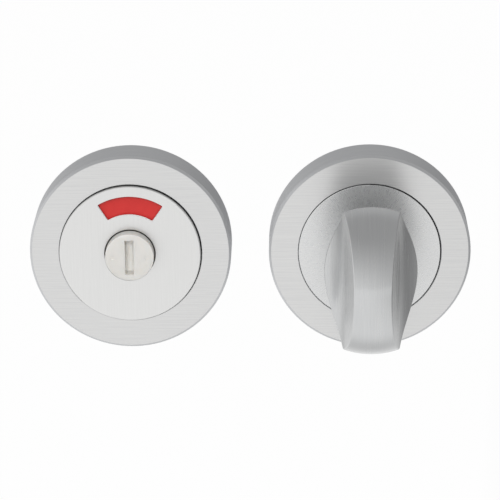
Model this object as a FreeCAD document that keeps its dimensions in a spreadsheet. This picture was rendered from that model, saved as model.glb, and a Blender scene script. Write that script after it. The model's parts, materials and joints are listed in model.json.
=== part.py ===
import FreeCAD, Part
import math
import os

import Sketcher

# Bathroom thumb turn lock: the inside half with its thumb turn and the outside half with its
# coin release and red indicator, side by side as they come out of the box.
#
# Lengths are in mm and angles in degrees. Every piece is drawn with +Y pointing out of the door,
# from the door's face at y = 0, and is then turned half round about Z, so that it faces -Y.
# The thumb turn's axis is at x = 0 and the release's axis is pair_spacing to the left of it.

CORE_OUTS = 4

SIZES = {
    # both roses
    "pair_spacing": 61.7,
    "rose_radius": 26.0,
    "rose_height": 10.0,
    "ring_wall": 1.2,
    "ring_plate": 1.2,
    "ring_bevel": 0.6,
    "collar_wall": 1.0,
    "collar_drop": 3.8,
    "ring_face_width": 7.55,
    "cap_sheet": 0.8,
    "cap_skirt": 1.6,
    "cap_recess": 0.1,
    "release_cap_rise": 0.6,
    "edge_break": 0.12,
    "release_cap_round": 0.3,
    "seam_gap": 0.05,
    "thread_clearance": 0.06,
    "ring_play": 0.14,
    "ring_settle_angle": 45.0,
    "flange_height": 4.0,
    "web_back": 2.6,
    "back_recess_radius": 12.0,
    "o_ring_section": 0.65,
    "o_ring_clearance": 0.02,
    "o_ring_side_gap": 0.05,
    "o_ring_groove_back": 5.8,
    "fixing_inset": 3.6,
    "fixing_hole_radius": 1.9,
    "countersink_radius": 3.2,
    "core_out_depth": 2.0,
    "base_rib": 1.6,
    "base_rim": 1.55,
    "core_out_half_angle": 28.0,
    "cutting_margin": 1.0,
    # running parts
    "running_clearance": 0.05,
    "axial_play": 0.1,
    "side_gap": 0.3,
    "bush_wall": 1.0,
    "bush_flange": 0.8,
    "shank_end": 0.4,
    "circlip_back": 1.0,
    "circlip_sheet": 0.8,
    "circlip_width": 2.4,
    "circlip_groove_depth": 0.6,
    "circlip_gap_angle": 56.0,
    "circlip_ear_radius": 1.25,
    "circlip_ear_hole": 0.55,
    "spring_sheet": 0.3,
    "spring_width": 3.0,
    "quarter_turn": 90.0,
    "stop_radius": 0.8,
    "stop_end_gap": 0.1,
    # thumb turn
    "neck_radius": 9.5,
    "seat_depth": 1.6,
    "shank_radius": 5.0,
    "bush_flange_radius": 6.9,
    "grip_height": 35.0,
    "grip_radius": 19.5,
    "dome_rise": 12.9,
    "crown_flat": 0.4,
    "rim_land": 0.5,
    "flare_angle": 46.5,
    "neck_fillet": 4.0,
    "crown_half_width": 4.62,
    "flank_draft": 10.5,
    "flank_depth": 11.0,
    "scoop_radius": 17.0,
    "scoop_depth": 10.3,
    "grip_edge_round": 0.45,
    "spindle_width": 5.0,
    "spindle_fit": 0.05,
    "spindle_reach": 50.0,
    "spindle_grip": 19.0,
    "spindle_chamfer": 0.5,
    "grub_radius": 2.0,
    "grub_length": 5.0,
    "grub_height": 16.0,
    "grub_key": 2.0,
    "grub_key_depth": 2.2,
    "turn_stop_circle": 8.2,
    "turn_stop_grip": 3.0,
    "turn_stop_reach": 2.1,
    "turn_slot_depth": 2.5,
    # coin release and indicator
    "journal_radius": 5.5,
    "driver_radius": 6.28,
    "driver_rise": 3.1,
    "driver_round": 0.2,
    "shoulder_radius": 7.6,
    "shoulder_height": 1.2,
    "key_radius": 6.8,
    "key_half_width": 5.8,
    "coin_slot_width": 2.25,
    "coin_slot_length": 9.15,
    "coin_slot_depth": 3.3,
    "ejector_mark_radius": 0.57,
    "ejector_mark_depth": 0.2,
    "ejector_mark_spread": 4.4,
    "socket_clearance": 0.1,
    "socket_depth": 8.0,
    "release_flange_radius": 7.8,
    "boss_wall": 0.8,
    "indicator_gap": 0.4,
    "indicator_sheet": 1.0,
    "flag_sheet": 0.6,
    "flag_gap": 0.7,
    "flag_margin": 0.2,
    "flag_overlap": 0.55,
    "window_shift": 0.55,
    "window_half_angle": 33.0,
    "window_turn": 1.2,
    "window_corner": 0.4,
    "flag_overlap_angle": 5.0,
    "release_stop_circle": 9.5,
    "release_stop_reach": 1.6,
    "release_slot_depth": 2.0,
}


class Size:
    """A number together with the sheet expression that gives it."""

    def __init__(self, number, text):
        self.number = number
        self.text = text

    def __add__(self, other):
        return combine(self, "+", other, self.number + as_size(other).number)

    def __radd__(self, other):
        return as_size(other) + self

    def __sub__(self, other):
        return combine(self, "-", other, self.number - as_size(other).number)

    def __rsub__(self, other):
        return as_size(other) - self

    def __mul__(self, other):
        return combine(self, "*", other, self.number * as_size(other).number)

    def __rmul__(self, other):
        return as_size(other) * self

    def __truediv__(self, other):
        return combine(self, "/", other, self.number / as_size(other).number)

    def __neg__(self):
        return as_size(0) - self


def as_size(value):
    if isinstance(value, Size):
        return value
    return Size(float(value), str(float(value)))


def combine(left, sign, right, number):
    return Size(number, f"({left.text} {sign} {as_size(right).text})")


def sine(angle):
    return Size(math.sin(math.radians(angle.number)), f"sin({angle.text} * 1 deg)")


def cosine(angle):
    return Size(math.cos(math.radians(angle.number)), f"cos({angle.text} * 1 deg)")


def tangent(angle):
    return Size(math.tan(math.radians(angle.number)), f"tan({angle.text} * 1 deg)")


def angle_with_sine(ratio):
    return Size(math.degrees(math.asin(ratio.number)), f"(asin({ratio.text}) / 1 deg)")


def square_root(value):
    return Size(math.sqrt(value.number), f"sqrt({value.text})")


class Sizes:
    """The driving dimensions, each in its own aliased cell of the document's sheet."""

    def __init__(self, document):
        sheet = document.addObject("Spreadsheet::Sheet", "Sizes")
        for row, (name, number) in enumerate(SIZES.items(), start=1):
            sheet.set(f"A{row}", name)
            sheet.set(f"B{row}", str(number))
            sheet.setAlias(f"B{row}", name)
            setattr(self, name, Size(number, f"Sizes.{name}"))


doc = FreeCAD.newDocument("ThumbTurnLock")
s = Sizes(doc)
doc.recompute()
pieces = []

# radii and heights above the door that several pieces share
turn_cap_front = s.rose_height - s.cap_recess
release_cap_front = s.rose_height + s.release_cap_rise
opening_radius = s.rose_radius - s.ring_face_width
cap_radius = opening_radius - s.ring_play - s.seam_gap
boss_radius = cap_radius - s.cap_sheet
thread_radius = s.rose_radius - s.ring_wall - s.ring_play - s.thread_clearance
fixing_circle_radius = thread_radius - s.fixing_inset
groove_floor = opening_radius - s.ring_play - 2 * s.o_ring_section - 2 * s.o_ring_clearance
groove_width = 2 * s.o_ring_section + 2 * s.o_ring_side_gap
circlip_front = s.circlip_back + s.circlip_sheet
spring_front = s.web_back - s.axial_play

turn_seat = turn_cap_front - s.cap_sheet - s.seat_depth
neck_back = turn_seat + s.bush_flange + s.axial_play
crown = s.rose_height + s.grip_height

flag_front = release_cap_front - s.cap_sheet - s.flag_gap
indicator_front = flag_front - s.flag_sheet
indicator_back = indicator_front - s.indicator_sheet
pocket_floor = indicator_back - s.axial_play - s.bush_flange
driver_front = release_cap_front + s.driver_rise
pocket_radius = boss_radius - s.boss_wall
indicator_radius = pocket_radius - s.indicator_gap
flag_outer = indicator_radius - s.flag_margin
window_outer = flag_outer - s.flag_overlap
driver_hole_radius = s.driver_radius + s.side_gap
window_inner = (driver_hole_radius + window_outer) / 2 - s.window_shift
flag_inner = (s.shoulder_radius + window_inner) / 2


# Helpers

def new_piece(label, release=False):
    """Starts a piece, turned to face -Y, on the thumb turn's axis or on the release's."""
    body = doc.addObject("PartDesign::Body", label)
    body.Label = label
    body.Placement = FreeCAD.Placement(FreeCAD.Vector(), FreeCAD.Rotation(FreeCAD.Vector(0, 0, 1), 180))
    if release:
        body.setExpression("Placement.Base.x", (-s.pair_spacing).text)
    pieces.append(body)
    return body


def new_sketch(body, name, plane, offset=0.0):
    """A sketch on one of the piece's own planes, moved along that plane's normal by offset."""
    sketch = body.newObject("Sketcher::SketchObject", name)
    support = [feature for feature in body.Origin.OriginFeatures if feature.Role == plane][0]
    sketch.AttachmentSupport = [(support, "")]
    sketch.MapMode = "FlatFace"
    sketch.setExpression("AttachmentOffset.Base.z", as_size(offset).text)
    return sketch


def side_sketch(body, name):
    """A sketch whose x is the distance from the piece's axis and whose y is the height off the door."""
    return new_sketch(body, name, "XY_Plane")


def face_sketch(body, name, height):
    """A sketch parallel to the door at this height off it. Its own normal points at the door."""
    return new_sketch(body, name, "XZ_Plane", -as_size(height))


def hold(sketch, kind, *targets, size):
    """Adds one dimension and ties it to the sheet."""
    index = sketch.addConstraint(Sketcher.Constraint(kind, *targets, size.number))
    sketch.setExpression(f"Constraints[{index}]", size.text)


def hold_point(sketch, geometry, end, x, y):
    hold(sketch, "DistanceX", -1, 1, geometry, end, size=x)
    hold(sketch, "DistanceY", -1, 1, geometry, end, size=y)


def arc_between(start, end, radius):
    """The arc from start to end: its centre is on the left of the chord where radius is positive."""
    chord = end - start
    middle = (start + end) * 0.5
    left = FreeCAD.Vector(-chord.y, chord.x, 0).normalize()
    offset = math.sqrt(max(radius**2 - (chord.Length / 2) ** 2, 0.0))
    centre = middle + left * math.copysign(offset, radius)
    first, last = (start, end) if radius > 0 else (end, start)
    angles = [math.atan2(point.y - centre.y, point.x - centre.x) for point in (first, last)]
    circle = Part.Circle(centre, FreeCAD.Vector(0, 0, 1), abs(radius))
    return Part.ArcOfCircle(circle, *angles)


def outline(sketch, *corners):
    """A closed outline. A corner is (x, y), or (x, y, radius) where an arc leads up to it."""
    corners = [tuple(as_size(value) for value in corner) for corner in corners]
    points = [FreeCAD.Vector(x.number, y.number, 0) for x, y, *_ in corners]
    sides = []
    for index, corner in enumerate(corners):
        start, end = points[index - 1], points[index]
        if len(corner) == 3:
            radius = corner[2]
            side = sketch.addGeometry(arc_between(start, end, radius.number), False)
            ends = (1, 2) if radius.number > 0 else (2, 1)
            hold(sketch, "Radius", side, size=radius if radius.number > 0 else -radius)
        else:
            side = sketch.addGeometry(Part.LineSegment(start, end), False)
            ends = (1, 2)
        sides.append((side, *ends))
    for index, (side, first, last) in enumerate(sides):
        follower, follower_first, _ = sides[(index + 1) % len(sides)]
        sketch.addConstraint(Sketcher.Constraint("Coincident", side, last, follower, follower_first))
        hold_point(sketch, side, last, corners[index][0], corners[index][1])


def circle(sketch, x, y, radius):
    centre = FreeCAD.Vector(as_size(x).number, as_size(y).number, 0)
    shape = Part.Circle(centre, FreeCAD.Vector(0, 0, 1), as_size(radius).number)
    index = sketch.addGeometry(shape, False)
    hold(sketch, "Radius", index, size=as_size(radius))
    hold_point(sketch, index, 3, as_size(x), as_size(y))


def rectangle(sketch, half_width, half_height):
    outline(
        sketch,
        (-half_width, -half_height),
        (half_width, -half_height),
        (half_width, half_height),
        (-half_width, half_height),
    )


def sector(sketch, inner, outer, half_angle, middle="up"):
    """Part of a ring: its middle points up, to the side or down."""
    across, along = sine(half_angle), cosine(half_angle)
    corners = [
        (inner * across, inner * along),
        (outer * across, outer * along),
        (-outer * across, outer * along, outer),
        (-inner * across, inner * along),
    ]
    last_arc = -inner
    if middle == "side":
        corners = [(y, -x, *radius) for x, y, *radius in corners]
    if middle == "down":
        corners = [(-x, -y, *radius) for x, y, *radius in corners]
    corners[0] = (*corners[0], last_arc)
    outline(sketch, *corners)


def revolve(body, name, *corners, angle=None):
    sketch = side_sketch(body, f"{name}Profile")
    outline(sketch, *corners)
    turned = body.newObject("PartDesign::Revolution", name)
    turned.Profile = sketch
    turned.ReferenceAxis = (sketch, ["V_Axis"])
    turned.Angle = 360.0
    if angle is not None:
        turned.Midplane = True
        turned.setExpression("Angle", angle.text)
    doc.recompute()
    return turned


def pad(body, name, sketch, length, outward=True, both_ways=False):
    """Adds material from the sketch, away from the door unless told otherwise."""
    added = body.newObject("PartDesign::Pad", name)
    added.Profile = sketch
    added.Reversed = outward
    added.Midplane = both_ways
    added.setExpression("Length", as_size(length).text)
    doc.recompute()
    return added


def pocket(body, name, sketch, depth, outward=True, both_ways=False):
    """Takes material away from the sketch, away from the door unless told otherwise."""
    before = body.Shape.Volume
    taken = body.newObject("PartDesign::Pocket", name)
    taken.Profile = sketch
    taken.Reversed = not outward
    taken.Midplane = both_ways
    taken.setExpression("Length", as_size(depth).text)
    doc.recompute()
    if not body.Shape.Volume < before:
        raise RuntimeError(f"{body.Label}: {name} cuts nothing")
    return taken


def edges(feature, wanted):
    """The names of a feature's edges whose middle and shape pass the test."""
    names = []
    for index, edge in enumerate(feature.Shape.Edges, start=1):
        middle = edge.valueAt((edge.FirstParameter + edge.LastParameter) / 2)
        if wanted(edge, middle):
            names.append(f"Edge{index}")
    return names


def soften(body, name, feature, wanted, size, kind="Fillet"):
    """A fillet or a chamfer on the edges that pass the test."""
    softened = body.newObject(f"PartDesign::{kind}", name)
    softened.Base = (feature, edges(feature, wanted))
    softened.setExpression("Radius" if kind == "Fillet" else "Size", as_size(size).text)
    doc.recompute()
    return softened


def ring_at(radius, height):
    """A test for round edges of this radius about the piece's axis at this height."""

    def wanted(edge, middle):
        centred = math.hypot(middle.x, middle.z)
        return abs(centred - radius.number) < 1e-4 and abs(middle.y - height.number) < 1e-4

    return wanted


# Pieces that both halves have

def rose_base(label, release, bore, cap_front, seat_radius, seat_floor):
    """Die-cast base: a threaded flange that the ring screws onto, and a boss that carries the cap."""
    base = new_piece(label, release)
    boss_front = cap_front - s.cap_sheet
    groove_front = s.o_ring_groove_back + groove_width
    revolve(
        base,
        "Casting",
        (bore, s.web_back),
        (s.back_recess_radius, s.web_back),
        (s.back_recess_radius, 0),
        (thread_radius, 0),
        (thread_radius, s.flange_height),
        (boss_radius, s.flange_height),
        (boss_radius, s.o_ring_groove_back),
        (groove_floor, s.o_ring_groove_back),
        (groove_floor, groove_front),
        (boss_radius, groove_front),
        (boss_radius, boss_front),
        (seat_radius, boss_front),
        (seat_radius, seat_floor),
        (bore, seat_floor),
    )
    holes = face_sketch(base, "FixingHoleCentres", 0)
    for side in (1, -1):
        circle(holes, side * fixing_circle_radius, 0, s.fixing_hole_radius)
    pocket(base, "FixingHoles", holes, s.flange_height)
    for side in ("Right", "Left"):
        countersink(base, f"Countersink{side}", 1 if side == "Right" else -1)
    core = face_sketch(base, "CoreOutShape", 0)
    inner = s.back_recess_radius + s.base_rib
    outer = thread_radius - s.base_rim
    sector(core, inner, outer, s.core_out_half_angle)
    between_screws = FreeCAD.Rotation(FreeCAD.Vector(0, 0, 1), 180 / CORE_OUTS)
    core.AttachmentOffset = FreeCAD.Placement(FreeCAD.Vector(), between_screws)
    core_out = pocket(base, "CoreOut", core, s.core_out_depth)
    around = base.newObject("PartDesign::PolarPattern", "CoreOuts")
    around.Originals = [core_out]
    around.Axis = (core, ["N_Axis"])
    around.Angle = 360.0
    around.Occurrences = CORE_OUTS
    base.Tip = around
    doc.recompute()
    return base


def countersink(base, name, side):
    """A 90 degree countersink round one fixing hole, open to the flange's front."""
    wide = s.countersink_radius
    narrow = s.fixing_hole_radius
    sketch = side_sketch(base, f"{name}Profile")
    axis_x = side * fixing_circle_radius
    outline(
        sketch,
        (axis_x, s.flange_height - wide + narrow),
        (axis_x + narrow, s.flange_height - wide + narrow),
        (axis_x + wide, s.flange_height),
        (axis_x, s.flange_height),
    )
    cut = base.newObject("PartDesign::Groove", name)
    cut.Profile = sketch
    axis = sketch.addGeometry(
        Part.LineSegment(
            FreeCAD.Vector(axis_x.number, 0, 0), FreeCAD.Vector(axis_x.number, s.flange_height.number, 0)
        ),
        True,
    )
    hold_point(sketch, axis, 1, axis_x, as_size(0))
    hold_point(sketch, axis, 2, axis_x, s.flange_height)
    cut.ReferenceAxis = (sketch, ["Axis0"])
    cut.Angle = 360.0
    before = base.Shape.Volume
    doc.recompute()
    if not base.Shape.Volume < before:
        raise RuntimeError(f"{base.Label}: {name} cuts nothing")


def rose_ring(label, release):
    """Outer ring of the rose: a turned cover that has settled to one side in its thread's play."""
    ring = new_piece(label, release)
    settled_x = s.ring_play * cosine(s.ring_settle_angle)
    settled_z = s.ring_play * sine(s.ring_settle_angle)
    if release:
        settled_x = settled_x - s.pair_spacing
    ring.setExpression("Placement.Base.x", settled_x.text)
    ring.setExpression("Placement.Base.z", settled_z.text)
    plate_back = s.rose_height - s.ring_plate
    collar_radius = opening_radius + s.collar_wall
    inner_radius = s.rose_radius - s.ring_wall
    revolve(
        ring,
        "Cover",
        (s.rose_radius, 0),
        (s.rose_radius, s.rose_height - s.ring_bevel),
        (s.rose_radius - s.ring_bevel, s.rose_height),
        (opening_radius + s.edge_break, s.rose_height),
        (opening_radius, s.rose_height - s.edge_break),
        (opening_radius, plate_back - s.collar_drop),
        (collar_radius, plate_back - s.collar_drop),
        (collar_radius, plate_back),
        (inner_radius, plate_back),
        (inner_radius, 0),
    )
    return ring


def rose_cap(label, release, cap_front, hole, edge_round):
    """Sheet cap pressed over the boss: the disc inside the seam."""
    cap = new_piece(label, release)
    boss_front = cap_front - s.cap_sheet
    skirt_back = cap_front - s.cap_skirt
    revolve(
        cap,
        "Cup",
        (hole, boss_front),
        (boss_radius, boss_front),
        (boss_radius, skirt_back),
        (cap_radius, skirt_back),
        (cap_radius, cap_front - edge_round),
        (cap_radius - edge_round, cap_front, edge_round),
        (hole + s.edge_break, cap_front),
        (hole, cap_front - s.edge_break, s.edge_break),
    )
    return cap


def rose_o_ring(label, release):
    """Rubber ring in the boss's groove: it keeps the screwed ring from rattling loose."""
    o_ring = new_piece(label, release)
    middle = groove_floor + s.o_ring_clearance + s.o_ring_section
    sketch = side_sketch(o_ring, "Section")
    circle(sketch, middle, s.o_ring_groove_back + groove_width / 2, s.o_ring_section)
    turned = o_ring.newObject("PartDesign::Revolution", "OpenRing")
    turned.Profile = sketch
    turned.ReferenceAxis = (sketch, ["V_Axis"])
    turned.Angle = 360.0
    doc.recompute()
    return o_ring


def flanged_bush(label, release, bore, flange_radius, seat_floor):
    """Acetal bush in the base's bore, with a flange that the turning part bears on."""
    bush = new_piece(label, release)
    inside = bore - s.bush_wall
    revolve(
        bush,
        "Bush",
        (inside, s.web_back),
        (bore, s.web_back),
        (bore, seat_floor),
        (flange_radius, seat_floor),
        (flange_radius, seat_floor + s.bush_flange),
        (inside, seat_floor + s.bush_flange),
    )
    return bush


def circlip(label, release, shaft_radius):
    """Sprung retaining ring, open on one side, with an eared hole at each end for the pliers."""
    clip = new_piece(label, release)
    inside = shaft_radius - s.circlip_groove_depth
    outside = inside + s.circlip_width
    revolve(
        clip,
        "OpenRing",
        (inside, s.circlip_back),
        (outside, s.circlip_back),
        (outside, circlip_front),
        (inside, circlip_front),
        angle=360 - s.circlip_gap_angle,
    )
    ear_angle = s.circlip_gap_angle / 2
    ear_circle = inside + s.circlip_ear_radius + s.running_clearance
    ear_x = -ear_circle * cosine(ear_angle)
    ears = face_sketch(clip, "EarShape", s.circlip_back)
    holes = face_sketch(clip, "EarHoleShape", s.circlip_back)
    for side in (1, -1):
        ear_z = side * ear_circle * sine(ear_angle)
        circle(ears, ear_x, ear_z, s.circlip_ear_radius)
        circle(holes, ear_x, ear_z, s.circlip_ear_hole)
    pad(clip, "Ears", ears, s.circlip_sheet)
    pocket(clip, "EarHoles", holes, s.circlip_sheet)
    return clip


def disc_spring(label, release, shaft_radius):
    """Coned spring washer: its bore bears on the circlip and its rim pushes on the base's web."""
    spring = new_piece(label, release)
    bore = shaft_radius + s.side_gap
    rim = bore + s.spring_width
    back = circlip_front + s.running_clearance
    revolve(
        spring,
        "Cone",
        (bore, back),
        (rim, spring_front - s.spring_sheet),
        (rim, spring_front),
        (bore, back + s.spring_sheet),
    )
    return spring


def shaft_corners(radius):
    """The back end of a turning shaft, with the circlip's groove, from its axis outwards."""
    groove_radius = radius - s.circlip_groove_depth
    groove_front = circlip_front + s.running_clearance
    return (
        (0, s.shank_end),
        (radius, s.shank_end),
        (radius, s.circlip_back - s.running_clearance),
        (groove_radius, s.circlip_back - s.running_clearance),
        (groove_radius, groove_front),
        (radius, groove_front),
    )


def stop_slot(base, stop_circle, floor, depth, middle):
    """The slot in the base that lets the stop travel a quarter turn and no further."""
    past_centre = (s.stop_radius + s.stop_end_gap) / stop_circle
    half_angle = s.quarter_turn / 2 + angle_with_sine(past_centre)
    half_width = s.stop_radius + s.side_gap
    sketch = face_sketch(base, "StopSlotShape", floor)
    sector(sketch, stop_circle - half_width, stop_circle + half_width, half_angle, middle)
    pocket(base, "StopSlot", sketch, depth, outward=False)


def diagonal_point(stop_circle):
    """Where a stop stands at rest: half a quarter turn below the piece's own +X side."""
    half = s.quarter_turn / 2
    return stop_circle * cosine(half), -stop_circle * sine(half)


# Inside half, with the thumb turn

def turn_base():
    """Base and bush of the thumb turn, with the stop slot below the axis."""
    bore = s.shank_radius + s.running_clearance + s.bush_wall
    base = rose_base("turn_base", False, bore, turn_cap_front, s.neck_radius + s.side_gap, turn_seat)
    stop_slot(base, s.turn_stop_circle, turn_seat, s.turn_slot_depth, "down")
    flanged_bush("turn_bush", False, bore, s.bush_flange_radius, turn_seat)


def thumb_turn():
    """The cast turn: a blank turned to a neck, a flare and a domed crown, with both flanks scooped."""
    turn = new_piece("thumb_turn")
    flat = s.crown_flat * s.crown_flat
    to_centre = (s.grip_radius * s.grip_radius - flat + s.dome_rise * s.dome_rise) / (2 * s.dome_rise)
    dome_radius = square_root(to_centre * to_centre + flat)
    rim_front = crown - s.dome_rise
    rim_back = rim_front - s.rim_land
    flare_back = rim_back - (s.grip_radius - s.neck_radius) / tangent(s.flare_angle)
    blank = revolve(
        turn,
        "Blank",
        *shaft_corners(s.shank_radius),
        (s.shank_radius, neck_back),
        (s.neck_radius, neck_back),
        (s.neck_radius, flare_back),
        (s.grip_radius, rim_back),
        (s.grip_radius, rim_front),
        (s.crown_flat, crown, dome_radius),
        (0, crown),
    )
    soften(turn, "NeckFillet", blank, ring_at(s.neck_radius, flare_back), s.neck_fillet)
    scoop_flanks(turn)
    soften_grip(turn)
    bore_for_spindle(turn)


def scoop_flanks(turn):
    """Each flank runs down from the crown at a slight draft, then sweeps out in a concave scoop."""
    clear = s.grip_radius + s.cutting_margin
    above = crown + s.cutting_margin
    start_x = s.crown_half_width + s.flank_depth * tangent(s.flank_draft)
    start_y = crown - s.flank_depth
    drop = s.scoop_radius * sine(s.flank_draft) + s.scoop_depth
    centre_x = start_x + s.scoop_radius * cosine(s.flank_draft)
    end_x = centre_x - square_root(s.scoop_radius * s.scoop_radius - drop * drop)
    end_y = start_y - s.scoop_depth
    top_x = s.crown_half_width - s.cutting_margin * tangent(s.flank_draft)
    shape = side_sketch(turn, "FlankShape")
    for side in (1, -1):
        outline(
            shape,
            (side * top_x, above),
            (side * start_x, start_y),
            (side * end_x, end_y, side * s.scoop_radius),
            (side * clear, end_y),
            (side * clear, above),
        )
    pocket(turn, "Flanks", shape, 2 * clear, both_ways=True)


def soften_grip(turn):
    """The edges round the crown, the flanks and the flare are polished to a small radius."""
    lowest = crown - s.flank_depth - s.scoop_depth
    grip = turn.Tip

    def sharp(edge, middle):
        box = edge.BoundBox
        seam = box.ZLength < 0.01
        smooth_joint = box.XLength < 0.01 and box.YLength < 0.01
        crown_flat = ring_at(s.crown_flat, crown)(edge, middle)
        return middle.y > lowest.number and not (seam or smooth_joint or crown_flat)

    soften(turn, "GripEdges", grip, sharp, s.grip_edge_round)


def bore_for_spindle(turn):
    """The square socket up the shank, the stop pin's hole and the grub screw's tapped hole."""
    half = s.spindle_width / 2 + s.spindle_fit
    socket = face_sketch(turn, "SocketShape", s.shank_end)
    rectangle(socket, half, half)
    pocket(turn, "Socket", socket, s.spindle_grip + s.spindle_fit)
    pin_hole = face_sketch(turn, "StopPinHoleShape", neck_back)
    circle(pin_hole, *diagonal_point(s.turn_stop_circle), s.stop_radius)
    pocket(turn, "StopPinHole", pin_hole, s.turn_stop_grip)
    outside = s.neck_radius + s.cutting_margin
    tapped = new_sketch(turn, "GrubHoleShape", "XY_Plane", -outside)
    circle(tapped, 0, s.grub_height, s.grub_radius)
    pocket(turn, "GrubHole", tapped, outside - s.spindle_width / 2, outward=False)


def turn_spindle():
    """Square steel spindle that carries the turn through the door to the release."""
    spindle = new_piece("turn_spindle")
    half = s.spindle_width / 2
    square = face_sketch(spindle, "Square", -s.spindle_reach)
    rectangle(square, half, half)
    bar = pad(spindle, "Bar", square, s.spindle_reach + s.shank_end + s.spindle_grip)

    def at_ends(edge, middle):
        across = abs(edge.tangentAt(edge.FirstParameter).y) < 1e-6
        return across and (middle.y < 0)

    soften(spindle, "LeadIn", bar, at_ends, s.spindle_chamfer, "Chamfer")


def grub_screw():
    """Socket set screw that clamps the spindle from below the neck."""
    screw = new_piece("turn_grub_screw")
    outer_end = -s.spindle_width / 2 - s.grub_length
    shank = new_sketch(screw, "ShankShape", "XY_Plane", outer_end)
    circle(shank, 0, s.grub_height, s.grub_radius)
    pad(screw, "Shank", shank, s.grub_length, outward=False)
    key = new_sketch(screw, "KeyShape", "XY_Plane", outer_end)
    flat = s.grub_key / 2
    point = flat * 2 / square_root(as_size(3))
    outline(
        key,
        (point, s.grub_height),
        (point / 2, s.grub_height + flat),
        (-point / 2, s.grub_height + flat),
        (-point, s.grub_height),
        (-point / 2, s.grub_height - flat),
        (point / 2, s.grub_height - flat),
    )
    pocket(screw, "KeySocket", key, s.grub_key_depth, outward=False)


def turn_stop_pin():
    """Hardened pin pressed into the back of the neck: it runs in the base's quarter-turn slot."""
    pin = new_piece("turn_stop_pin")
    length = s.turn_stop_grip + (neck_back - turn_seat) + s.turn_stop_reach
    shape = face_sketch(pin, "PinShape", neck_back + s.turn_stop_grip)
    circle(shape, *diagonal_point(s.turn_stop_circle), s.stop_radius)
    pad(pin, "Pin", shape, length, outward=False)


# Outside half, with the coin release and the indicator

def release_base():
    """Base and bush of the release, with the stop slot beside the axis."""
    bore = s.journal_radius + s.running_clearance + s.bush_wall
    base = rose_base("release_base", True, bore, release_cap_front, pocket_radius, pocket_floor)
    stop_slot(base, s.release_stop_circle, pocket_floor, s.release_slot_depth, "side")
    flanged_bush("release_bush", True, bore, s.release_flange_radius, pocket_floor)


def release_cap():
    """The release's cap, with the punched window that shows the flags, a touch out of line."""
    cap = rose_cap("release_cap", True, release_cap_front, driver_hole_radius, s.release_cap_round)
    window = face_sketch(cap, "WindowShape", release_cap_front)
    sector(window, window_inner, window_outer, s.window_half_angle)
    window.setExpression("AttachmentOffset.Rotation.Angle", s.window_turn.text)
    punched = pocket(cap, "Window", window, s.cap_sheet, outward=False)

    def at_corners(edge, middle):
        along_y = abs(edge.tangentAt(edge.FirstParameter).y) > 1 - 1e-6
        return along_y and middle.z > window_inner.number / 2

    soften(cap, "WindowCorners", punched, at_corners, s.window_corner)


def coin_driver():
    """Moulded white driver: a slotted head, a shoulder behind the cap, a key and a hollow journal."""
    driver = new_piece("coin_driver", True)
    shoulder_front = indicator_front + s.shoulder_height
    moulding = revolve(
        driver,
        "Moulding",
        *shaft_corners(s.journal_radius),
        (s.journal_radius, indicator_back),
        (s.key_radius, indicator_back),
        (s.key_radius, indicator_front),
        (s.shoulder_radius, indicator_front),
        (s.shoulder_radius, shoulder_front),
        (s.driver_radius, shoulder_front),
        (s.driver_radius, driver_front),
        (0, driver_front),
    )
    soften(driver, "HeadEdge", moulding, ring_at(s.driver_radius, driver_front), s.driver_round)
    flats = face_sketch(driver, "KeyFlatShape", indicator_back)
    outside = s.key_radius + s.cutting_margin
    for side in (1, -1):
        outline(
            flats,
            (side * s.key_half_width, -s.key_radius),
            (side * outside, -s.key_radius),
            (side * outside, s.key_radius),
            (side * s.key_half_width, s.key_radius),
        )
    pocket(driver, "KeyFlats", flats, s.indicator_sheet)
    slot = face_sketch(driver, "CoinSlotShape", driver_front)
    rectangle(slot, s.coin_slot_width / 2, s.coin_slot_length / 2)
    pocket(driver, "CoinSlot", slot, s.coin_slot_depth, outward=False)
    marks = face_sketch(driver, "EjectorMarkShape", driver_front)
    for side in (1, -1):
        circle(marks, side * s.ejector_mark_spread, 0, s.ejector_mark_radius)
    pocket(driver, "EjectorMarks", marks, s.ejector_mark_depth, outward=False)
    socket = face_sketch(driver, "SpindleSocketShape", s.shank_end)
    half = s.spindle_width / 2 + s.socket_clearance
    rectangle(socket, half, half)
    pocket(driver, "SpindleSocket", socket, s.socket_depth)


def indicator_disc():
    """Moulded disc keyed onto the driver: it carries the flags and the stop peg."""
    disc = new_piece("indicator_disc", True)
    shape = face_sketch(disc, "DiscShape", indicator_back)
    circle(shape, 0, 0, indicator_radius)
    pad(disc, "Disc", shape, s.indicator_sheet)
    hole = face_sketch(disc, "KeyHoleShape", indicator_back)
    radius = s.key_radius + s.running_clearance
    flat = s.key_half_width + s.running_clearance
    corner = square_root(radius * radius - flat * flat)
    outline(
        hole,
        (flat, -corner, radius),
        (flat, corner),
        (-flat, corner, radius),
        (-flat, -corner),
    )
    pocket(disc, "KeyHole", hole, s.indicator_sheet)
    peg = face_sketch(disc, "StopPegShape", indicator_back)
    circle(peg, *diagonal_point(s.release_stop_circle), s.stop_radius)
    peg_length = indicator_back - pocket_floor + s.release_stop_reach
    pad(disc, "StopPeg", peg, peg_length, outward=False)


def flag(label, middle):
    """Coloured sector on the indicator disc, seen through the cap's window."""
    sheet = new_piece(label, True)
    shape = face_sketch(sheet, "FlagShape", indicator_front)
    half_angle = s.window_half_angle + s.flag_overlap_angle
    sector(shape, flag_inner, flag_outer, half_angle, middle)
    pad(sheet, "Flag", shape, s.flag_sheet)


turn_base()
rose_cap("turn_cap", False, turn_cap_front, s.neck_radius + s.side_gap, s.edge_break)
rose_ring("turn_ring", False)
rose_o_ring("turn_o_ring", False)
thumb_turn()
turn_spindle()
grub_screw()
turn_stop_pin()
circlip("turn_circlip", False, s.shank_radius)
disc_spring("turn_disc_spring", False, s.shank_radius)

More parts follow.
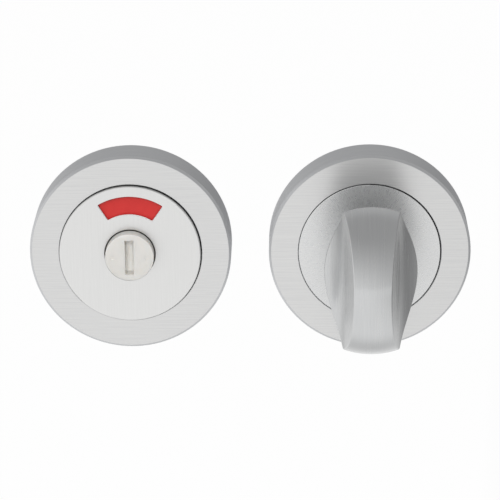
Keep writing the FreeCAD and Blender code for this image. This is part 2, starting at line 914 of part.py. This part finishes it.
release_base()
release_cap()
rose_ring("release_ring", True)
rose_o_ring("release_o_ring", True)
coin_driver()
indicator_disc()
flag("red_flag", "up")
flag("green_flag", "side")
circlip("release_circlip", True, s.journal_radius)
disc_spring("release_disc_spring", True, s.journal_radius)

doc.recompute()
failed = [item.Name for item in doc.Objects if {"Invalid", "Error"} & set(item.State)]
if failed:
    raise RuntimeError(f"these objects failed: {failed}")
for piece in pieces:
    shape = piece.Shape
    if shape.isNull() or not shape.isValid() or len(shape.Solids) != 1:
        raise RuntimeError(f"{piece.Label} is not one valid solid")

os.makedirs("parts", exist_ok=True)
for piece in pieces:
    piece.Shape.exportStep(f"parts/{piece.Label}.step")
    box = piece.Shape.BoundBox
    print(f"{piece.Label}: {piece.Shape.Volume:.1f} mm3, y {box.YMin:.2f} to {box.YMax:.2f}")
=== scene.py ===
import json
import math

import bpy
from mathutils import Matrix, Vector

# Looks of the bathroom thumb turn lock. Lengths are in metres, angles in degrees and colours are
# sRGB hex values. +X is right, -Y comes out of the door and +Z is up.

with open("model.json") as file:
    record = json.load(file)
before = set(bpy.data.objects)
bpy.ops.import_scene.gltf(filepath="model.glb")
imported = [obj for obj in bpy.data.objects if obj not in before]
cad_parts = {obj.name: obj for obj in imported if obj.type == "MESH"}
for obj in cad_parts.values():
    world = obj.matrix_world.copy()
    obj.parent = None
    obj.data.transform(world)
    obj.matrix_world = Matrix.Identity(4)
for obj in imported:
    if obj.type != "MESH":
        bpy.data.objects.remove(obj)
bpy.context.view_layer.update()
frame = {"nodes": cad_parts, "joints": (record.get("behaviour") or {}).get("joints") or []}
nodes = frame["nodes"]

MM = 0.001

# camera
CAMERA_AZIMUTH = 0.924
CAMERA_ELEVATION = 19.082
CAMERA_ROLL = -0.456
CAMERA_DISTANCE = 721.8 * MM
CAMERA_AIM = Vector((-30.911, 0.0, -2.667)) * MM
CAMERA_SENSOR = 36.0
CAMERA_LENS = 198.66

# key lamp
KEY_PLACE = Vector((-0.10, -1.14, 0.44))
KEY_SIZE = 0.7
KEY_WATTS = 10.0

# floor
FLOOR_DROP = 0.15
FLOOR_RADIUS = 3.0
FLOOR_SIDES = 128
FLOOR_GLOW = 0.97

# The floor is white where the camera sees it. The metal also mirrors its grey, which lies on the right,
# from a slanting edge, and behind on the left, from another. The floor dims far off as well, and a faint
# painted shadow lies under the lock. All of these come and go in soft steps: where each starts and ends,
# and its level at the start and the end. Only the right edge is a plain ramp from 0 to 1.
RIGHT_EDGE_SLANT = -0.08
RIGHT_EDGE = (0.03, 0.33)
RIGHT_FROM_FRONT = (-0.9, 0.3, 0.1, 0.74)
RIGHT_TO_BACK = (0.6, 1.0, 1.0, 0.5)
LEFT_EDGE_SLANT = 0.1
LEFT_EDGE = (-0.11, -0.18, 0.0, 0.46)
LEFT_END = (-0.33, -0.18, 0.0, 1.0)
LEFT_FROM_FRONT = (0.08, 0.25, 0.0, 1.0)
FAR_OFF = (1.1, FLOOR_RADIUS, 1.0, 0.75)
PAINTED_SHADOW_UNDER_LOCK = (0.16, 0.0, 0.0, 0.3)
PAINTED_SHADOW_FROM_FRONT = (-0.08, 0.02, 0.0, 1.0)

# how bright the tent's walls are, by degrees to the right of the front
TENT_WALLS = (
    (-180, 0.42),
    (-150, 0.50),
    (-90, 1.05),
    (-45, 0.95),
    (0, 0.85),
    (45, 0.60),
    (85, 0.56),
    (115, 0.25),
    (150, 0.28),
    (180, 0.42),
)
TENT_WALL_TOP = 0.87
# how bright the roof is, as a soft step from the front to the back
TENT_ROOF = (0.1, 0.42, 0.44, 0.60)

# Patterns. Real brushing lines, casting grit and the skin of a moulding are 0.03 to 0.1 mm wide, too
# fine to show from here, so each is drawn as coarse as it has to be to show.
BRUSH_LINE = 0.28 * MM
TOOL_LINE = 0.3 * MM
HAND_LINE = 0.3 * MM
DRAW_LINE = 0.4 * MM
CAST_GRIT = 0.3 * MM
MOULD_SKIN = 0.25 * MM
SCRATCH_DEPTH = 0.02 * MM
CAST_DEPTH = 0.05 * MM
# noise keeps mostly between these two values
NOISE_LOW = 0.3
NOISE_HIGH = 0.7
# how far a moulding's roughness strays either way
SKIN_UNEVENNESS = 0.04

# Where one piece has two finishes, they change over with the surface's own direction: its y, which is -1
# on a face towards the user, for a ring's rim, which also takes painted shade, and for the cap's cut edge,
# which takes a painted highlight, and its x for the turn's flanks.
RIM_TILT = (-0.95, -0.8)
CUT_TILT = (-0.6, -0.3, 0.0, 1.0)
FLANK_TILT = (0.5, 0.8, 0.0, 1.0)
# the cut edge shades as if it leaned this way
CUT_LEAN = (0.0, -1.5, 0.0)
ALONG_X = (1.0, 0.0, 0.0)
ALONG_Z = (0.0, 0.0, 1.0)

JOINTS = {joint["name"]: joint for joint in frame["joints"]}
TURN_X = JOINTS["turn_rotation"]["pos_m"][0]
RELEASE_X = JOINTS["release_rotation"]["pos_m"][0]
# the cap's window lies within a reach of this distance from the release's axis
WINDOW_MIDDLE = 12.3 * MM
WINDOW_REACH = 4.2 * MM
# painted shade darkens the driver where it runs in the cap's hole: by its place along y and round the axis
HOLE_SHADE_DEPTH = (-10.7 * MM, -10.4 * MM, 0.0, 1.0)
HOLE_SHADE_RADIUS = (5.9 * MM, 6.1 * MM, 0.0, 1.0)


def linear(code):
    """The linear colour of an sRGB hex value."""
    parts = [int(code[index:index + 2], 16) / 255 for index in (1, 3, 5)]
    lit = [part / 12.92 if part <= 0.04045 else ((part + 0.055) / 1.055) ** 2.4 for part in parts]
    return (*lit, 1.0)


def add(tree, kind, inputs=None, **settings):
    """Adds a node. An input is a value, a socket, or a node that feeds it from its first output."""
    made = tree.nodes.new(kind)
    for name, value in settings.items():
        setattr(made, name, value)
    for name, value in (inputs or {}).items():
        if isinstance(value, bpy.types.Node):
            value = next(socket for socket in value.outputs if socket.enabled)
        if isinstance(value, bpy.types.NodeSocket):
            tree.links.new(value, made.inputs[name])
        else:
            made.inputs[name].default_value = value
    return made


def start_material(name):
    """A new material, its node tree, and where a point is on its own piece, in metres."""
    material = bpy.data.materials.new(name)
    material.use_nodes = True
    tree = material.node_tree
    tree.nodes.clear()
    where = add(tree, "ShaderNodeTexCoord").outputs["Object"]
    return material, tree, where


# Patterns

def soft_steps(tree, level, *steps):
    """A level times soft steps, each given as the value it follows and (start, end, low, high)."""
    for value, (start, end, low, high) in steps:
        step = add(
            tree,
            "ShaderNodeMapRange",
            {"Value": value, "From Min": start, "From Max": end, "To Min": low, "To Max": high},
            interpolation_type="SMOOTHSTEP",
        )
        level = add(tree, "ShaderNodeMath", {0: level, 1: step}, operation="MULTIPLY")
    return level


def stretched_noise(tree, where, size, detail=3.0, distortion=0.0):
    """Noise whose grains have these sizes along x, y and z."""
    scale = tuple(1 / length for length in size)
    moved = add(tree, "ShaderNodeMapping", {"Vector": where, "Scale": scale})
    return add(
        tree,
        "ShaderNodeTexNoise",
        {"Vector": moved, "Scale": 1.0, "Detail": detail, "Distortion": distortion},
    )


def between(tree, noise, low, high):
    """Noise as a number between two numbers, or as a colour between two sRGB values."""
    evened = add(
        tree,
        "ShaderNodeMapRange",
        {"Value": noise, "From Min": NOISE_LOW, "From Max": NOISE_HIGH},
    )
    if isinstance(low, str):
        ends = {"A": linear(low), "B": linear(high)}
        return add(tree, "ShaderNodeMix", {"Factor": evened, **ends}, data_type="RGBA")
    return add(tree, "ShaderNodeMix", {"Factor": evened, "A": low, "B": high})


def round_place(tree, where, axis_x):
    """The same point as (angle round the axis, place along y, distance from the axis)."""
    x, y, z = add(tree, "ShaderNodeSeparateXYZ", {0: where}).outputs
    across = add(tree, "ShaderNodeMath", {0: x, 1: axis_x}, operation="SUBTRACT")
    flat = add(tree, "ShaderNodeCombineXYZ", {0: across, 2: z})
    radius = add(tree, "ShaderNodeVectorMath", {0: flat}, operation="LENGTH")
    angle = add(tree, "ShaderNodeMath", {0: z, 1: across}, operation="ARCTAN2")
    return add(tree, "ShaderNodeCombineXYZ", {0: angle, 1: y, 2: radius})


def round_way(tree, where, axis_x):
    """The way round the axis at a point."""
    x, _, z = add(tree, "ShaderNodeSeparateXYZ", {0: where}).outputs
    across = add(tree, "ShaderNodeMath", {0: x, 1: axis_x}, operation="SUBTRACT")
    down = add(tree, "ShaderNodeMath", {0: z, 1: -1.0}, operation="MULTIPLY")
    return add(tree, "ShaderNodeCombineXYZ", {0: down, 2: across})


def own_normal(tree):
    """The surface's direction in the piece's own frame, whole and as its x, y and z."""
    normal = add(
        tree,
        "ShaderNodeVectorTransform",
        {"Vector": add(tree, "ShaderNodeNewGeometry").outputs["Normal"]},
        vector_type="NORMAL",
        convert_from="WORLD",
        convert_to="OBJECT",
    )
    return normal, add(tree, "ShaderNodeSeparateXYZ", {0: normal}).outputs


def across_brushing(tree, normal, direction):
    """The tangent that a highlight is drawn out along: across the brushing, in the surface."""
    crossed = add(tree, "ShaderNodeVectorMath", {0: normal, 1: direction}, operation="CROSS_PRODUCT")
    return add(
        tree,
        "ShaderNodeVectorTransform",
        {"Vector": crossed},
        vector_type="VECTOR",
        convert_from="OBJECT",
        convert_to="WORLD",
    )


# Metals

def stainless_ring(name, axis_x):
    """Stainless steel: the face brushed along x, the rim and bevel left as turned and rougher, their
    colour darkened as painted shade.
    """
    material, tree, where = start_material(name)
    around = round_place(tree, where, axis_x)
    normal, (_, toward_user, _) = own_normal(tree)
    rim_start, rim_end = RIM_TILT
    on_rim = add(
        tree,
        "ShaderNodeMapRange",
        {"Value": toward_user, "From Min": rim_start, "From Max": rim_end},
    )
    way = add(
        tree,
        "ShaderNodeMix",
        {"Factor": on_rim, "A": ALONG_X, "B": round_way(tree, where, axis_x)},
        data_type="VECTOR",
    )
    lines = add(
        tree,
        "ShaderNodeMix",
        {
            "Factor": on_rim,
            "A": stretched_noise(tree, where, (14 * MM, 1 * MM, BRUSH_LINE)),
            "B": stretched_noise(tree, around, (0.6, TOOL_LINE, TOOL_LINE)),
        },
    )
    # the rim's darker colour is painted shade for the darker surroundings it mirrors
    colour = add(
        tree,
        "ShaderNodeMix",
        {
            "Factor": on_rim,
            "A": between(tree, lines, "#DCDCDC", "#E7E7E6"),
            "B": between(tree, lines, "#D3D4D6", "#DADBDC"),
        },
        data_type="RGBA",
    )
    roughness = add(
        tree,
        "ShaderNodeMix",
        {
            "Factor": on_rim,
            "A": between(tree, lines, 0.34, 0.40),
            "B": between(tree, lines, 0.46, 0.52),
        },
    )
    bump = add(
        tree,
        "ShaderNodeBump",
        {"Height": lines, "Strength": 0.06, "Distance": SCRATCH_DEPTH},
    )
    shader = add(
        tree,
        "ShaderNodeBsdfPrincipled",
        {
            "Base Color": colour,
            "Metallic": 1.0,
            "Roughness": roughness,
            "Specular Tint": linear("#C8C8CA"),
            "Anisotropic": 0.7,
            "Tangent": across_brushing(tree, normal, way),
            "Normal": bump,
        },
    )
    add(tree, "ShaderNodeOutputMaterial", {"Surface": shader})
    return material


def stainless_brushed_cap(name, axis_x):
    """Stainless steel sheet, finely brushed up and down, its window's punched edge shaded as if it leaned
    towards the user and painted near white as a highlight.
    """
    material, tree, where = start_material(name)
    normal, (_, toward_user, _) = own_normal(tree)
    around = add(tree, "ShaderNodeSeparateXYZ", {0: round_place(tree, where, axis_x)}).outputs[2]
    at_window = add(
        tree,
        "ShaderNodeMath",
        {0: around, 1: WINDOW_MIDDLE, 2: WINDOW_REACH},
        operation="COMPARE",
    )
    on_cut = soft_steps(tree, at_window, (toward_user, CUT_TILT))
    cut_edge_lean = add(
        tree,
        "ShaderNodeMix",
        {"Factor": on_cut, "A": (0.0, 0.0, 0.0), "B": CUT_LEAN},
        data_type="VECTOR",
    )
    leaning = add(
        tree,
        "ShaderNodeVectorTransform",
        {"Vector": add(tree, "ShaderNodeVectorMath", {0: normal, 1: cut_edge_lean}, operation="ADD")},
        vector_type="NORMAL",
        convert_from="OBJECT",
        convert_to="WORLD",
    )
    lines = stretched_noise(tree, where, (BRUSH_LINE, 1 * MM, 10 * MM))
    # painted highlight: the window's cut edge is drawn near white and not metallic, so it shows as a
    # bright line
    colour = add(
        tree,
        "ShaderNodeMix",
        {"Factor": on_cut, "A": between(tree, lines, "#E3E3E2", "#E7E7E6"), "B": linear("#FDF6F6")},
        data_type="RGBA",
    )
    bump = add(
        tree,
        "ShaderNodeBump",
        {"Height": lines, "Strength": 0.035, "Distance": SCRATCH_DEPTH, "Normal": leaning},
    )
    shader = add(
        tree,
        "ShaderNodeBsdfPrincipled",
        {
            "Base Color": colour,
            "Metallic": add(tree, "ShaderNodeMath", {0: 1.0, 1: on_cut}, operation="SUBTRACT"),
            "Roughness": between(tree, lines, 0.34, 0.40),
            "Anisotropic": 0.5,
            "Tangent": across_brushing(tree, normal, ALONG_Z),
            "Normal": bump,
        },
    )
    add(tree, "ShaderNodeOutputMaterial", {"Surface": shader})
    return material


def stainless_spun_cap(name, axis_x):
    """Stainless steel sheet, polished as it spun: its rings draw each highlight out in fine rays."""
    material, tree, where = start_material(name)
    around = round_place(tree, where, axis_x)
    normal, _ = own_normal(tree)
    rays = stretched_noise(tree, around, (0.016, 1 * MM, 1.6 * MM), detail=2.0)
    bump = add(
        tree,
        "ShaderNodeBump",
        {"Height": rays, "Strength": 0.052, "Distance": SCRATCH_DEPTH},
    )
    shader = add(
        tree,
        "ShaderNodeBsdfPrincipled",
        {
            "Base Color": between(tree, rays, "#DADBDC", "#E9E9E8"),
            "Metallic": 1.0,
            "Roughness": between(tree, rays, 0.25, 0.34),
            "Anisotropic": 0.75,
            "Tangent": across_brushing(tree, normal, round_way(tree, where, axis_x)),
            "Normal": bump,
        },
    )
    add(tree, "ShaderNodeOutputMaterial", {"Surface": shader})
    return material


def stainless_turn(name):
    """Cast stainless steel, satin brushed by hand along its crown and its flanks."""
    material, tree, where = start_material(name)
    normal, (sideways, _, _) = own_normal(tree)
    steep = add(tree, "ShaderNodeMath", {0: sideways}, operation="ABSOLUTE")
    lines = add(
        tree,
        "ShaderNodeMix",
        {
            "Factor": soft_steps(tree, 1.0, (steep, FLANK_TILT)),
            "A": stretched_noise(tree, where, (HAND_LINE, 40 * MM, 14 * MM)),
            "B": stretched_noise(tree, where, (40 * MM, HAND_LINE, 14 * MM)),
        },
    )
    bump = add(
        tree,
        "ShaderNodeBump",
        {"Height": lines, "Strength": 0.045, "Distance": SCRATCH_DEPTH},
    )
    shader = add(
        tree,
        "ShaderNodeBsdfPrincipled",
        {
            "Base Color": between(tree, lines, "#CBCCCD", "#D1D2D2"),
            "Metallic": 1.0,
            "Roughness": between(tree, lines, 0.23, 0.28),
            "Anisotropic": 0.6,
            "Tangent": across_brushing(tree, normal, ALONG_Z),
            "Normal": bump,
        },
    )
    add(tree, "ShaderNodeOutputMaterial", {"Surface": shader})
    return material


def zinc_casting(name):
    """Zinc alloy, die cast and tumbled: dull grey with a soft cloudy flow."""
    material, tree, where = start_material(name)
    clouds = stretched_noise(tree, where, (4 * MM, 4 * MM, 4 * MM), distortion=0.6)
    grit = stretched_noise(tree, where, (CAST_GRIT, CAST_GRIT, CAST_GRIT))
    bump = add(
        tree,
        "ShaderNodeBump",
        {"Height": grit, "Strength": 0.25, "Distance": CAST_DEPTH},
    )
    shader = add(
        tree,
        "ShaderNodeBsdfPrincipled",
        {
            "Base Color": between(tree, clouds, "#A2A4A8", "#B9BBBE"),
            "Metallic": 1.0,
            "Roughness": between(tree, clouds, 0.42, 0.56),
            "Normal": bump,
        },
    )
    add(tree, "ShaderNodeOutputMaterial", {"Surface": shader})
    return material


def plated_steel(name):
    """Cold drawn steel, bright zinc plated: fine draw lines and a faint blue and straw cast."""
    material, tree, where = start_material(name)
    lines = stretched_noise(tree, where, (DRAW_LINE, 12 * MM, DRAW_LINE))
    cast = stretched_noise(tree, where, (6 * MM, 9 * MM, 6 * MM))
    bump = add(
        tree,
        "ShaderNodeBump",
        {"Height": lines, "Strength": 0.1, "Distance": SCRATCH_DEPTH},
    )
    shader = add(
        tree,
        "ShaderNodeBsdfPrincipled",
        {
            "Base Color": between(tree, cast, "#BFC6CE", "#D2CDBF"),
            "Metallic": 1.0,
            "Roughness": between(tree, lines, 0.22, 0.34),
            "Normal": bump,
        },
    )
    add(tree, "ShaderNodeOutputMaterial", {"Surface": shader})
    return material


def spring_steel(name):
    """Spring steel, hardened and phosphated: near black with a dry, slightly mottled surface."""
    material, tree, where = start_material(name)
    mottle = stretched_noise(tree, where, (0.8 * MM, 0.8 * MM, 0.8 * MM), detail=5.0)
    bump = add(
        tree,
        "ShaderNodeBump",
        {"Height": mottle, "Strength": 0.15, "Distance": SCRATCH_DEPTH},
    )
    shader = add(
        tree,
        "ShaderNodeBsdfPrincipled",
        {
            "Base Color": between(tree, mottle, "#3A3A3C", "#4C4C4E"),
            "Metallic": 0.8,
            "Roughness": between(tree, mottle, 0.38, 0.5),
            "Normal": bump,
        },
    )
    add(tree, "ShaderNodeOutputMaterial", {"Surface": shader})
    return material


# Plastics and rubber

def painted_shade_in_hole(tree, where):
    """Where shade is painted dark on the driver: in the narrow gap round it, inside the cap's hole."""
    place = round_place(tree, where, RELEASE_X)
    _, depth, around = add(tree, "ShaderNodeSeparateXYZ", {0: place}).outputs
    return soft_steps(tree, 1.0, (depth, HOLE_SHADE_DEPTH), (around, HOLE_SHADE_RADIUS))


def moulded_plastic(name, dark, light, roughness, glow_through=0.0, paint_hole_shade=False):
    """Injection moulded plastic: an even colour, clouded very slightly, with a fine eggshell skin."""
    material, tree, where = start_material(name)
    clouds = stretched_noise(tree, where, (3 * MM, 3 * MM, 3 * MM))
    skin = stretched_noise(tree, where, (MOULD_SKIN, MOULD_SKIN, MOULD_SKIN))
    colour = between(tree, clouds, dark, light)
    if paint_hole_shade:
        # painted shade: the driver's colour goes dark in the gap inside the cap's hole
        colour = add(
            tree,
            "ShaderNodeMix",
            {"Factor": painted_shade_in_hole(tree, where), "A": colour, "B": linear("#45413D")},
            data_type="RGBA",
        )
    bump = add(
        tree,
        "ShaderNodeBump",
        {"Height": skin, "Strength": 0.08, "Distance": SCRATCH_DEPTH},
    )
    shader = add(
        tree,
        "ShaderNodeBsdfPrincipled",
        {
            "Base Color": colour,
            "Roughness": between(tree, skin, roughness - SKIN_UNEVENNESS, roughness + SKIN_UNEVENNESS),
            "IOR": 1.5,
            "Subsurface Weight": glow_through,
            "Subsurface Radius": (1.0, 0.9, 0.8),
            "Subsurface Scale": 2 * MM,
            "Normal": bump,
        },
    )
    add(tree, "ShaderNodeOutputMaterial", {"Surface": shader})
    return material


# Surroundings

def white_floor():
    """A white sweep under the lock that falls to grey on the right and behind on the left, with a faint
    painted shadow under the lock.
    """
    bpy.ops.mesh.primitive_circle_add(vertices=FLOOR_SIDES, radius=FLOOR_RADIUS, fill_type="NGON")
    floor = bpy.context.object
    floor.name = "floor"
    floor.location = (0.0, 0.0, -FLOOR_DROP)
    material, tree, where = start_material("white_sweep")
    x, y, _ = add(tree, "ShaderNodeSeparateXYZ", {0: where}).outputs
    distance = add(tree, "ShaderNodeVectorMath", {0: where}, operation="LENGTH")
    right = add(tree, "ShaderNodeMath", {0: y, 1: RIGHT_EDGE_SLANT, 2: x}, operation="MULTIPLY_ADD")
    left = add(tree, "ShaderNodeMath", {0: y, 1: LEFT_EDGE_SLANT, 2: x}, operation="MULTIPLY_ADD")
    edge_start, edge_end = RIGHT_EDGE
    past_edge = add(
        tree,
        "ShaderNodeMapRange",
        {"Value": right, "From Min": edge_start, "From Max": edge_end},
    )
    grey_right = soft_steps(tree, past_edge, (y, RIGHT_FROM_FRONT), (y, RIGHT_TO_BACK))
    grey_left = soft_steps(tree, 1.0, (left, LEFT_EDGE), (x, LEFT_END), (y, LEFT_FROM_FRONT))
    grey = add(tree, "ShaderNodeMath", {0: grey_right, 1: grey_left}, operation="ADD")
    white = add(tree, "ShaderNodeMath", {0: 1.0, 1: grey}, operation="SUBTRACT")
    # painted shadow under the lock, darkening the floor's colour and glow
    shade = soft_steps(tree, 1.0, (distance, PAINTED_SHADOW_UNDER_LOCK), (y, PAINTED_SHADOW_FROM_FRONT))
    unshaded = add(tree, "ShaderNodeMath", {0: 1.0, 1: shade}, operation="SUBTRACT")
    kept = soft_steps(tree, white, (distance, FAR_OFF))
    kept = add(tree, "ShaderNodeMath", {0: kept, 1: unshaded}, operation="MULTIPLY")
    rays = add(tree, "ShaderNodeLightPath").outputs
    seen = rays["Is Camera Ray"]
    for kind in ("Is Glossy Ray", "Is Transmission Ray"):
        seen = add(tree, "ShaderNodeMath", {0: seen, 1: rays[kind]}, operation="MAXIMUM")
    glow = add(tree, "ShaderNodeMath", {0: seen, 1: kept}, operation="MULTIPLY")
    light = add(tree, "ShaderNodeEmission", {"Color": (1.0, 1.0, 1.0, 1.0), "Strength": glow})
    paper = add(tree, "ShaderNodeCombineColor", {0: kept, 1: kept, 2: kept})
    matt = add(tree, "ShaderNodeBsdfDiffuse", {"Color": paper})
    both = add(tree, "ShaderNodeMixShader", {0: FLOOR_GLOW, 1: matt, 2: light})
    add(tree, "ShaderNodeOutputMaterial", {"Surface": both})
    floor.data.materials.append(material)


def light_tent():
    """The studio round the lock: bright in front and on the left, grey above, dark behind on the right."""
    world = bpy.data.worlds.new("studio")
    bpy.context.scene.world = world
    world.use_nodes = True
    tree = world.node_tree
    tree.nodes.clear()
    way = add(tree, "ShaderNodeTexCoord").outputs["Generated"]
    x, y, z = add(tree, "ShaderNodeSeparateXYZ", {0: way}).outputs
    forward = add(tree, "ShaderNodeMath", {0: y, 1: -1.0}, operation="MULTIPLY")
    turn = add(tree, "ShaderNodeMath", {0: x, 1: forward}, operation="ARCTAN2")
    turn = add(tree, "ShaderNodeMath", {0: turn, 1: 0.5 / math.pi, 2: 0.5}, operation="MULTIPLY_ADD")
    walls = add(tree, "ShaderNodeValToRGB", {"Fac": turn})
    stops = walls.color_ramp.elements
    for _ in TENT_WALLS[len(stops):]:
        stops.new(1.0)
    for stop, (azimuth, grey) in zip(stops, TENT_WALLS):
        stop.position = azimuth / 360 + 0.5
        stop.color = (grey, grey, grey, 1.0)
    height = add(
        tree,
        "ShaderNodeMapRange",
        {"Value": z, "From Max": TENT_WALL_TOP},
    )
    roof = soft_steps(tree, 1.0, (y, TENT_ROOF))
    tent = add(tree, "ShaderNodeMix", {"Factor": height, "A": walls, "B": roof}, data_type="RGBA")
    background = add(tree, "ShaderNodeBackground", {"Color": tent})
    add(tree, "ShaderNodeOutputWorld", {"Surface": background})


def key_lamp():
    """A square lamp that faces the lock. It lights the plastics and the floor and isn't mirrored."""
    lamp = bpy.data.lights.new("key_softbox", "AREA")
    lamp.shape = "SQUARE"
    lamp.size = KEY_SIZE
    lamp.energy = KEY_WATTS
    box = bpy.data.objects.new("key_softbox", lamp)
    bpy.context.scene.collection.objects.link(box)
    box.location = KEY_PLACE
    box.rotation_euler = (CAMERA_AIM - KEY_PLACE).to_track_quat("-Z", "Y").to_euler()
    box.visible_glossy = False


def place_camera():
    """The photograph's view, from a little above and almost square on."""
    azimuth, elevation, roll = (
        math.radians(angle) for angle in (CAMERA_AZIMUTH, CAMERA_ELEVATION, CAMERA_ROLL)
    )
    back = Vector((
        math.sin(azimuth) * math.cos(elevation),
        -math.cos(azimuth) * math.cos(elevation),
        math.sin(elevation),
    ))
    level = Vector((math.cos(azimuth), math.sin(azimuth), 0.0))
    upright = back.cross(level)
    right = level * math.cos(roll) + upright * math.sin(roll)
    up = back.cross(right)
    data = bpy.data.cameras.new("camera")
    data.sensor_width = CAMERA_SENSOR
    data.lens = CAMERA_LENS
    camera = bpy.data.objects.new("camera", data)
    bpy.context.scene.collection.objects.link(camera)
    turned = Matrix((right, up, back)).transposed().to_4x4()
    camera.matrix_world = Matrix.Translation(CAMERA_AIM + back * CAMERA_DISTANCE) @ turned
    bpy.context.scene.camera = camera


# Dressing

def dress():
    """Each piece of the lock gets its finish."""
    zinc = zinc_casting("zinc_die_cast")
    plated = plated_steel("steel_zinc_plated")
    black = spring_steel("spring_steel_phosphated")
    acetal = moulded_plastic("acetal_natural", "#E2DFD6", "#E9E6DE", 0.42)
    rubber = moulded_plastic("nitrile_rubber_black", "#1E1E1F", "#28282A", 0.6)
    finishes = {
        "turn_ring": stainless_ring("stainless_ring_brushed", TURN_X),
        "turn_cap": stainless_spun_cap("stainless_cap_spun", TURN_X),
        "thumb_turn": stainless_turn("stainless_cast_satin"),
        "turn_spindle": plated,
        "turn_stop_pin": plated,
        "turn_grub_screw": black,
        "release_ring": stainless_ring("stainless_ring_brushed_release", RELEASE_X),
        "release_cap": stainless_brushed_cap("stainless_cap_brushed", RELEASE_X),
        # the driver's nylon takes painted shade inside the cap's hole
        "coin_driver": moulded_plastic(
            "nylon_white_moulded", "#E1DFDA", "#E5E3DF", 0.45, glow_through=0.4, paint_hole_shade=True
        ),
        "indicator_disc": acetal,
        "red_flag": moulded_plastic("abs_red_moulded", "#C8302E", "#CE3431", 0.4),
        "green_flag": moulded_plastic("abs_green_moulded", "#2E8B46", "#34964D", 0.4),
    }
    for side in ("turn", "release"):
        finishes[f"{side}_base"] = zinc
        finishes[f"{side}_bush"] = acetal
        finishes[f"{side}_circlip"] = black
        finishes[f"{side}_disc_spring"] = black
        finishes[f"{side}_o_ring"] = rubber
    for name, piece in nodes.items():
        for slot in piece.material_slots:
            slot.material = finishes[name]


place_camera()
light_tent()
white_floor()
key_lamp()
dress()

bpy.context.scene.view_settings.view_transform = "Standard"
